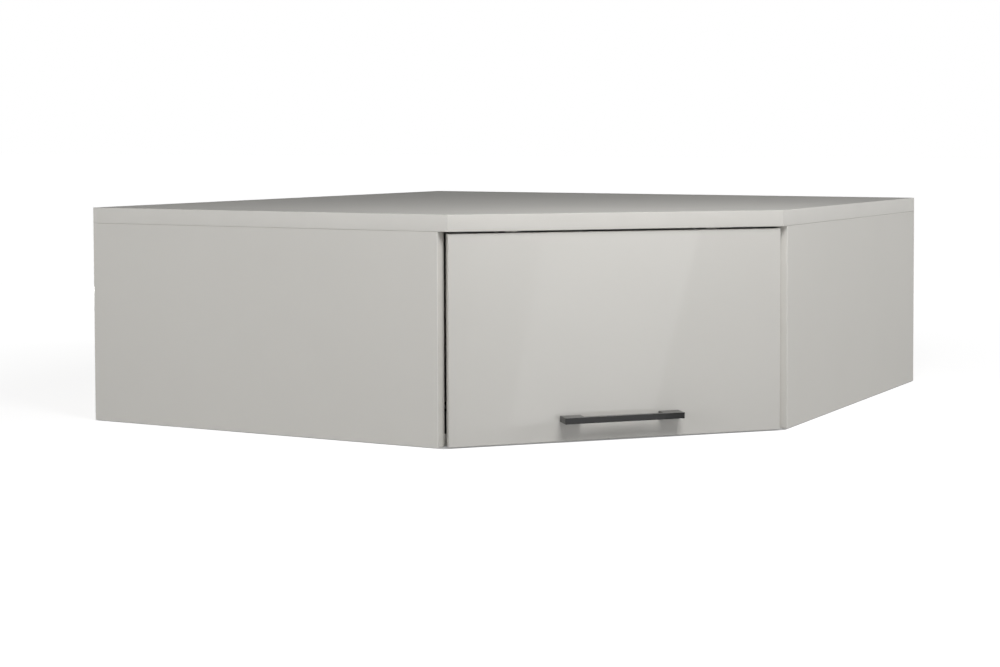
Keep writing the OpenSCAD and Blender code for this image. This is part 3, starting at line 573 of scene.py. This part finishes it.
# The corner points of each loose solid in a node
def solidsOf(node):
    bm = solidMesh(node)
    left = set(bm.verts)
    groups = []
    while left:
        stack = [left.pop()]
        group = []
        while stack:
            vert = stack.pop()
            group.append(vert.co[:])
            for edge in vert.link_edges:
                other = edge.other_vert(vert)
                if other in left:
                    left.remove(other)
                    stack.append(other)
        groups.append(np.array(group))
    bm.free()
    groups.sort(key=lambda g: tuple(g.mean(0).round(4)))
    return groups


# Where each solid stands and which way it points. A screw's axis is its longest one, with the head
# where it is widest, and a flat disc's axis is its shortest, towards the inside.
def placesOf(node, lift, flat=False):
    seats, aims = [], []
    for points in solidsOf(node):
        centre = points.mean(0)
        reach = points - centre
        directions = np.linalg.eigh(reach.T @ reach)[1]
        axis = directions[:, 0 if flat else 2]
        if flat:
            axis = axis if axis @ (insidePoint - centre) > 0 else -axis
            seat = centre + axis * (reach @ axis).min()
        else:
            along = reach @ axis
            spread = np.linalg.norm(reach - np.outer(along, axis), axis=1)
            if along[spread.argmax()] < (along.min() + along.max()) / 2:
                axis, along = -axis, -along
            seat = centre + axis * (along.max() - lift)
        seats.append(seat)
        aims.append(axis)
    return seats, aims


def pointsMesh(name, seats, aims):
    mesh = bpy.data.meshes.new(name)
    mesh.from_pydata([tuple(s) for s in seats], [], [])
    attribute = mesh.attributes.new("aim", "FLOAT_VECTOR", "POINT")
    attribute.data.foreach_set("vector", np.array(aims, np.float32).ravel())
    return mesh


def camelCase(words):
    first, *others = words.split("_")
    return first + "".join(word.capitalize() for word in others)


screwNodes = screwTree()
discNodes = discTree()


def screwsMesh(name, seats, aims, sizes, material):
    headRadius, headHeight, shankRadius, length = sizes
    return grownMesh(name, pointsMesh(name, seats, aims), screwNodes, {
        "Head radius": headRadius * mm, "Head height": headHeight * mm,
        "Shank radius": shankRadius * mm, "Length": length * mm, "Material": materials[material]})


screwSets = {  # node: head radius, head height, shank radius and length in mm, material, slot, body
    "hinge_plate_screws": (3.5, 2, 1.75, 12, "zinc", "plated_steel", "carcass"),
    "floor_bracket_screws": (3.5, 2, 1.75, 12, "zinc", "plated_steel", "carcass"),
    "hanger_screws": (3.5, 2, 1.75, 30, "zinc", "plated_steel", "carcass"),
    "hinge_arm_screws": (3.5, 2, 1.75, 9, "nickel", "plated_steel", "carcass"),
    "cup_screws": (3.5, 2, 1.75, 12, "nickel", "plated_steel", "flap"),
    "door_bracket_screws": (3.5, 2, 1.75, 12, "zinc", "plated_steel", "flap"),
    "handle_screws": (4, 2, 2, 28, "zinc", "plated_steel", "flap"),
}
for node, (*sizes, material, slotName, body) in screwSets.items():
    name = camelCase(node)
    headHeight = sizes[1]
    mesh = screwsMesh(name, *placesOf(node, headHeight * mm), sizes, material)
    finishPiece(name, mesh, None, body, [node])

discSets = {  # node: radius, height, dome and edge in mm, material, slot, body
    "cam_caps": (8.6, 1, -0.25, 0.5, "cap", "cap_plastic", "carcass"),
    "door_buffers": (4, 1.5, 0.2, 0.6, "buffer", "buffer", "flap"),
}
for node, (radius, height, dome, edge, material, slotName, body) in discSets.items():
    name = camelCase(node)
    mesh = grownMesh(name, pointsMesh(name, *placesOf(node, 0, flat=True)), discNodes, {
        "Radius": radius * mm, "Height": height * mm, "Dome": dome * mm, "Edge": edge * mm,
        "Material": materials[material]})
    finishPiece(name, mesh, None, body, [node])
print("screws:", len(screwSets), "sets, discs:", len(discSets), "sets")


# The hinges' two adjusting screws, in the underside of each arm
adjusters = {"across": 92, "behindPin": (26, 36), "up": 267, "headRadius": 2.5, "headHeight": 1.2,
             "shankRadius": 1.5, "length": 4}
seats = []
for half in (Matrix(), otherHalf):
    for back in adjusters["behindPin"]:
        seat = Vector((adjusters["across"], pinPlace[0] + back, adjusters["up"])) * mm
        seats.append(half @ frontPlace @ seat)
sizes = [adjusters[key] for key in ("headRadius", "headHeight", "shankRadius", "length")]
adjusterMesh = screwsMesh("hingeAdjusters", seats, [(0, 0, -1)] * len(seats), sizes, "nickel")
finishPiece("hingeAdjusters", adjusterMesh, None, "carcass")


# Hinges, brackets and hangers
fittings = {  # node without its side: name, body, slot, material, edge radius in mm
    "hinge_cup": ("HingeCup", "flap", "nickel", "nickel", 0.35),
    "hinge_arm": ("HingeArm", "carcass", "nickel", "nickel", 0.5),
    "hinge_plate": ("HingePlate", "carcass", "nickel", "nickel", 0.5),
    "floor_bracket": ("FloorBracket", "carcass", "bracket_steel", "zinc", 0.35),
    "door_bracket": ("DoorBracket", "flap", "bracket_steel", "zinc", 0.35),
    "hanger_body": ("HangerBody", "carcass", "hanger_plastic", "hanger", 0.8),
    "hanger_hook": ("HangerHook", "carcass", "plated_steel", "zinc", 0.3),
    "wall_plate": ("WallPlate", "carcass", "plated_steel", "zinc", 0.3),
}
for side in ("left", "right"):
    for node, (label, body, slotName, material, rounding) in fittings.items():
        softened(side + label, side + "_" + node, body, material, rounding)
softened("studClips", "stud_clips", "carcass", "tube", 0.25)
print("fittings:", 2 * len(fittings) + 1)


# Gas struts, in their own frame: z runs from the lower stud to the upper one
strut = {"across": 30, "studBack": 100, "studUp": -220.5, "lean": 21.1064, "length": 199.916,
         "tubeRadius": 7.5, "rodRadius": 4, "rodShown": 12, "pistonGap": 8, "pistonThickness": 6,
         "spigotRadius": 3, "spigotLength": 6, "eyeLength": 13, "eyeRadius": 6.5, "boreRadius": 3.05,
         "studRadius": 2.95}
strutPlace = (frontPlace
              @ Matrix.Translation((strut["across"] * mm, (pinPlace[0] + strut["studBack"]) * mm,
                                    (pinPlace[1] + strut["studUp"]) * mm))
              @ Matrix.Rotation(math.radians(strut["lean"]), 4, "X"))
alongStud = Matrix.Rotation(math.radians(90), 4, "Y")
fromUpperStud = Matrix.Translation((0, 0, strut["length"] * mm)) @ Matrix.Rotation(math.pi, 4, "X")

tubeR, rodR, spigotR = strut["tubeRadius"], strut["rodRadius"], strut["spigotRadius"]
eyeR, boreR, studR = strut["eyeRadius"], strut["boreRadius"], strut["studRadius"]
neckEnd = strut["eyeLength"]
spigotStart = neckEnd - strut["spigotLength"]
tubeStart = neckEnd + strut["rodShown"]
tubeTop = strut["length"] - neckEnd
spigotTop = tubeTop + strut["spigotLength"]
rodTop = tubeTop - strut["pistonGap"]
pistonLow = rodTop - strut["pistonThickness"]
tubeProfile = [  # hollow, with a rolled end round the rod, two grooves, and a spigot in the upper end
    (0, tubeTop - 3), (6.3, tubeTop - 3), (6.3, tubeStart + 6), (rodR + 0.08, tubeStart + 6),
    (rodR + 0.08, tubeStart + 0.6), (rodR + 0.6, tubeStart), (tubeR - 1.5, tubeStart),
    (tubeR - 0.5, tubeStart + 0.5), (tubeR, tubeStart + 1.6), (tubeR, tubeStart + 8),
    (tubeR - 0.2, tubeStart + 8.5), (tubeR - 0.6, tubeStart + 9), (tubeR - 0.6, tubeStart + 10),
    (tubeR - 0.2, tubeStart + 10.5), (tubeR, tubeStart + 11), (tubeR, tubeTop - 2.4),
    (tubeR - 0.3, tubeTop - 1), (tubeR - 1.1, tubeTop - 0.2), (tubeR - 2.1, tubeTop),
    (spigotR, tubeTop), (spigotR, spigotTop), (0, spigotTop)]
rodProfile = [  # a spigot in the lower eye's neck, the rod, and the piston
    (0, spigotStart), (spigotR, spigotStart), (spigotR, neckEnd), (rodR - 0.5, neckEnd),
    (rodR, neckEnd + 0.5), (rodR, pistonLow), (6, pistonLow), (6.25, pistonLow + 0.3),
    (6.25, rodTop - 0.3), (6, rodTop), (0, rodTop)]
eyeProfile = [  # the moulded ring round a stud, with a groove outside
    (boreR, -7.3), (boreR + 0.25, -7.5), (eyeR - 0.6, -7.5), (eyeR, -6.9), (eyeR, -3.2),
    (eyeR - 0.4, -2.9), (eyeR - 0.4, -1.9), (eyeR, -1.6), (eyeR, 4.4), (eyeR - 0.6, 5.0),
    (boreR + 0.25, 5.0), (boreR, 4.8)]
neckProfile = [  # between the eye and the rod or the tube, round the spigot
    (0, spigotStart), (spigotR + 0.05, spigotStart), (spigotR + 0.05, neckEnd - 0.2),
    (spigotR + 0.3, neckEnd), (4.5, neckEnd), (5, neckEnd - 0.5), (5, 9), (4.6, 8.5), (5, 8),
    (5, 4.2), (0, 4.2)]
studProfile = [(0, -7.4), (studR, -7.4), (studR, 6.9), (studR - 0.25, 7.2), (0, 7.2)]
clipProfile = [(studR, 5.7), (4.4, 5.7), (4.6, 5.9), (4.6, 6.7), (4.4, 6.9), (studR, 6.9)]


def strutPieces(side, half, flip):
    place = half @ strutPlace
    for label, profile, material, body in (("StrutTube", tubeProfile, "tube", "tube"),
                                           ("StrutRod", rodProfile, "chrome", "rod")):
        node = "strut_" + body
        bm = bmesh.new()
        addLathe(bm, profile, 48)
        finishPiece(side + label, meshFrom(bm, side + label, place, flip), material,
                    side + "_" + body, [side + "_" + node])
    for label, body, turn in (("RodEnd", "rod", Matrix()), ("TubeEnd", "tube", fromUpperStud)):
        bm = bmesh.new()
        addLathe(bm, eyeProfile, 48, alongStud, closed=True)
        addLathe(bm, neckProfile, 40)
        finishPiece(side + label, meshFrom(bm, side + label, place @ turn, flip), "rodEnd",
                    side + "_" + body, [side + "_strut_" + body + "_end"])
    for label, profile, closed, material, slotName in (
            ("UpperStudTip", studProfile, False, "zinc", "bracket_steel"),
            ("UpperClip", clipProfile, True, "tube", "clip_steel")):
        bm = bmesh.new()
        addLathe(bm, profile, 40, alongStud, closed)
        finishPiece(side + label, meshFrom(bm, side + label, place @ fromUpperStud, flip), material,
                    side + "_tube")


inBothHalves(strutPieces)
print("gas struts: 12 pieces")


# Boards and hidden fixings keep their solids
plainNodes = {
    "board": ["top_panel", "bottom_panel", "corner_post"],
    "leftBoard": ["left_side_panel"],
    "rightBoard": ["right_side_panel"],
    "back": ["left_back_panel", "right_back_panel"],
    "door": ["door_panel"],
    "zinc": ["top_cams", "bottom_cams", "top_cam_bolts", "bottom_cam_bolts", "post_screw"],
    "nickel": ["hinge_pins"],
    "beech": ["dowels"],
}
for material, members in plainNodes.items():
    for node in members:
        slots = nodes[node].data.materials
        slots.clear()
        slots.append(materials[material])
print("boards and hidden fixings:", sum(len(m) for m in plainNodes.values()))


# Studio: lengths in metres, and the floor's glow as its strength
studio = {
    "floorSize": 60,
    "floorTone": 0.3,
    "middle": (0.45, -0.45, 0),
    "glowNear": 0.88,  # painted shade: the floor glows less near the cabinet, so that the real contact shadow shows
    "glowFar": 1.0,
    "paintedShadowUnder": 0.24,  # painted shadow: the dark line under the lower edges
    "gap": 0.8,  # between the floor and the object, in mm
    "fadeFrom": 0.8,
    "fadeTo": 1.8,
    "ambient": 0.04,
}


def seenByEye(tree):
    rays = tree.nodes.new("ShaderNodeLightPath").outputs
    seen = calc(tree, "MAXIMUM", rays["Is Camera Ray"], rays["Is Glossy Ray"])
    return calc(tree, "MAXIMUM", seen, rays["Is Transmission Ray"])


def stagePiece(name, mesh, surface):
    piece = bpy.data.objects.new(name, mesh)
    bpy.context.scene.collection.objects.link(piece)
    made = bpy.data.materials.new(name)
    made.use_nodes = True
    tree = made.node_tree
    tree.nodes.remove(tree.nodes["Principled BSDF"])
    tree.links.new(surface(tree), tree.nodes["Material Output"].inputs["Surface"])
    mesh.materials.append(made)
    return piece


# White to the eye, with painted shade a little less so near the cabinet, and a painted shadow under it
def floorSurface(tree):
    place = tree.nodes.new("ShaderNodeTexCoord").outputs["Object"]
    away = vectorCalc(tree, "DISTANCE", place, studio["middle"])
    # painted shade: the glow falls off towards the cabinet
    level = between(tree, away, studio["glowNear"], studio["glowFar"], studio["fadeFrom"], studio["fadeTo"])
    wallEnd = long * mm
    diagonal = (long + deep - math.sqrt(2) * door["recess"]) * mm
    # the cabinet's footprint, where a painted shadow takes the place of the glow
    under = 1.0
    for direction, limit in (((1, 0, 0), wallEnd), ((0, -1, 0), wallEnd), ((1, -1, 0), diagonal),
                             (leftWall, 0), (rightWall, 0)):
        within = calc(tree, "LESS_THAN", vectorCalc(tree, "DOT_PRODUCT", place, direction), limit)
        under = calc(tree, "MULTIPLY", under, within)
    level = between(tree, under, level, studio["paintedShadowUnder"], 0.0, 1.0)
    matt = addNode(tree, "ShaderNodeBsdfDiffuse", {"Color": [studio["floorTone"]] * 3 + [1]})
    strength = calc(tree, "MULTIPLY", seenByEye(tree), level)
    glow = addNode(tree, "ShaderNodeEmission", {"Strength": strength})
    return addNode(tree, "ShaderNodeAddShader", {0: matt.outputs[0], 1: glow.outputs[0]}).outputs[0]


bm = bmesh.new()
bmesh.ops.create_grid(bm, x_segments=4, y_segments=4, size=studio["floorSize"] / 2)
stagePiece("floor", meshFrom(bm, "floor", Matrix.Translation((0, 0, -studio["gap"] * mm))), floorSurface)

# Light cards that only the door's gloss shows, as the slanting bands of light in the photograph.
# Each edge is (low, high) along the door in mm, on a plane in front of the door.
cards = {
    "leftCard": {"from": (66, 76), "to": (122, 170), "strength": 1.3},
    "middleCard": {"from": (122, 170), "to": (329, 402), "strength": 1.85},
}
cardPlane = {"away": 150, "low": 0, "high": 262}
cardDepth = door["recess"] - cardPlane["away"]
for name, card in cards.items():
    (lowFrom, highFrom), (lowTo, highTo) = card["from"], card["to"]
    bm = bmesh.new()
    bm.faces.new([bm.verts.new((x * mm, cardDepth * mm, z * mm)) for x, z in (
        (lowFrom, cardPlane["low"]), (highFrom, cardPlane["high"]),
        (highTo, cardPlane["high"]), (lowTo, cardPlane["low"]))])
    shown = stagePiece(name, meshFrom(bm, name, frontPlace), lambda tree: addNode(
        tree, "ShaderNodeEmission", {"Strength": card["strength"]}).outputs[0])
    for ray in ("camera", "diffuse", "shadow", "transmission"):
        setattr(shown, "visible_" + ray, False)

world = bpy.data.worlds.new("studioWhite")
bpy.context.scene.world = world
world.use_nodes = True
tree = world.node_tree
background = tree.nodes["Background"]
background.inputs["Color"].default_value = (1, 1, 1, 1)
strength = between(tree, seenByEye(tree), studio["ambient"], 1.0, 0.0, 1.0)
tree.links.new(strength, background.inputs["Strength"])

lamps = {  # place in metres, width and height in metres, watts
    "key": ((1.3, -1.3, 0.95), (0.5, 0.5), 9.6),
    "lowLeft": ((-0.2, -2.4, 0.4), (0.8, 0.8), 14.2),
    "lowRight": ((2.4, 0.2, 0.5), (0.8, 0.8), 14.2),
    "frontFill": ((3.4, -3.4, 0.45), (1, 1), 12),
    "lowBack": ((-1.3, 1.3, 0.14), (1.6, 0.27), 26),  # stays under the top's level
    "insideFill": ((2.6, -2.6, 0.2), (0.6, 0.6), 30),  # only for what the open flap uncovers
}
target = Vector((0.55, -0.55, 0.15))
for name, (place, size, watts) in lamps.items():
    light = bpy.data.lights.new(name, "AREA")
    light.shape = "RECTANGLE"
    light.size, light.size_y = size
    light.energy = watts
    lamp = bpy.data.objects.new(name, light)
    lamp.location = place
    lamp.rotation_euler = (target - Vector(place)).to_track_quat("-Z", "Y").to_euler()
    lamp.visible_camera = False
    bpy.context.scene.collection.objects.link(lamp)

# The lamp for the inside leaves out the hinges too, because the gap over the flap shows them
inside = bpy.data.collections.new("inside")
for node in ("bottom_panel", "corner_post", "left_back_panel", "right_back_panel"):
    inside.objects.link(nodes[node])
for side in ("left", "right"):
    for label in ("StrutTube", "StrutRod", "RodEnd", "TubeEnd", "UpperStudTip", "UpperClip",
                  "FloorBracket", "DoorBracket"):
        inside.objects.link(bpy.data.objects[side + label])
bpy.data.objects["insideFill"].light_linking.receiver_collection = inside

# Camera, worked out from the cabinet's straight edges in the photograph
view = {"place": (1.8327, -2.9374, 0.3957), "heading": 25.531, "tilt": 2.316, "lens": 67.673,
        "shift": (-0.15, -0.12)}
lens = bpy.data.cameras.new("camera")
lens.sensor_width = 36
lens.lens = view["lens"]
lens.shift_x, lens.shift_y = view["shift"]
camera = bpy.data.objects.new("camera", lens)
camera.location = view["place"]
camera.rotation_euler = (math.radians(90 - view["tilt"]), 0, math.radians(view["heading"]))
bpy.context.scene.collection.objects.link(camera)
bpy.context.scene.camera = camera
bpy.context.scene.view_settings.view_transform = "Standard"
print("studio and camera")
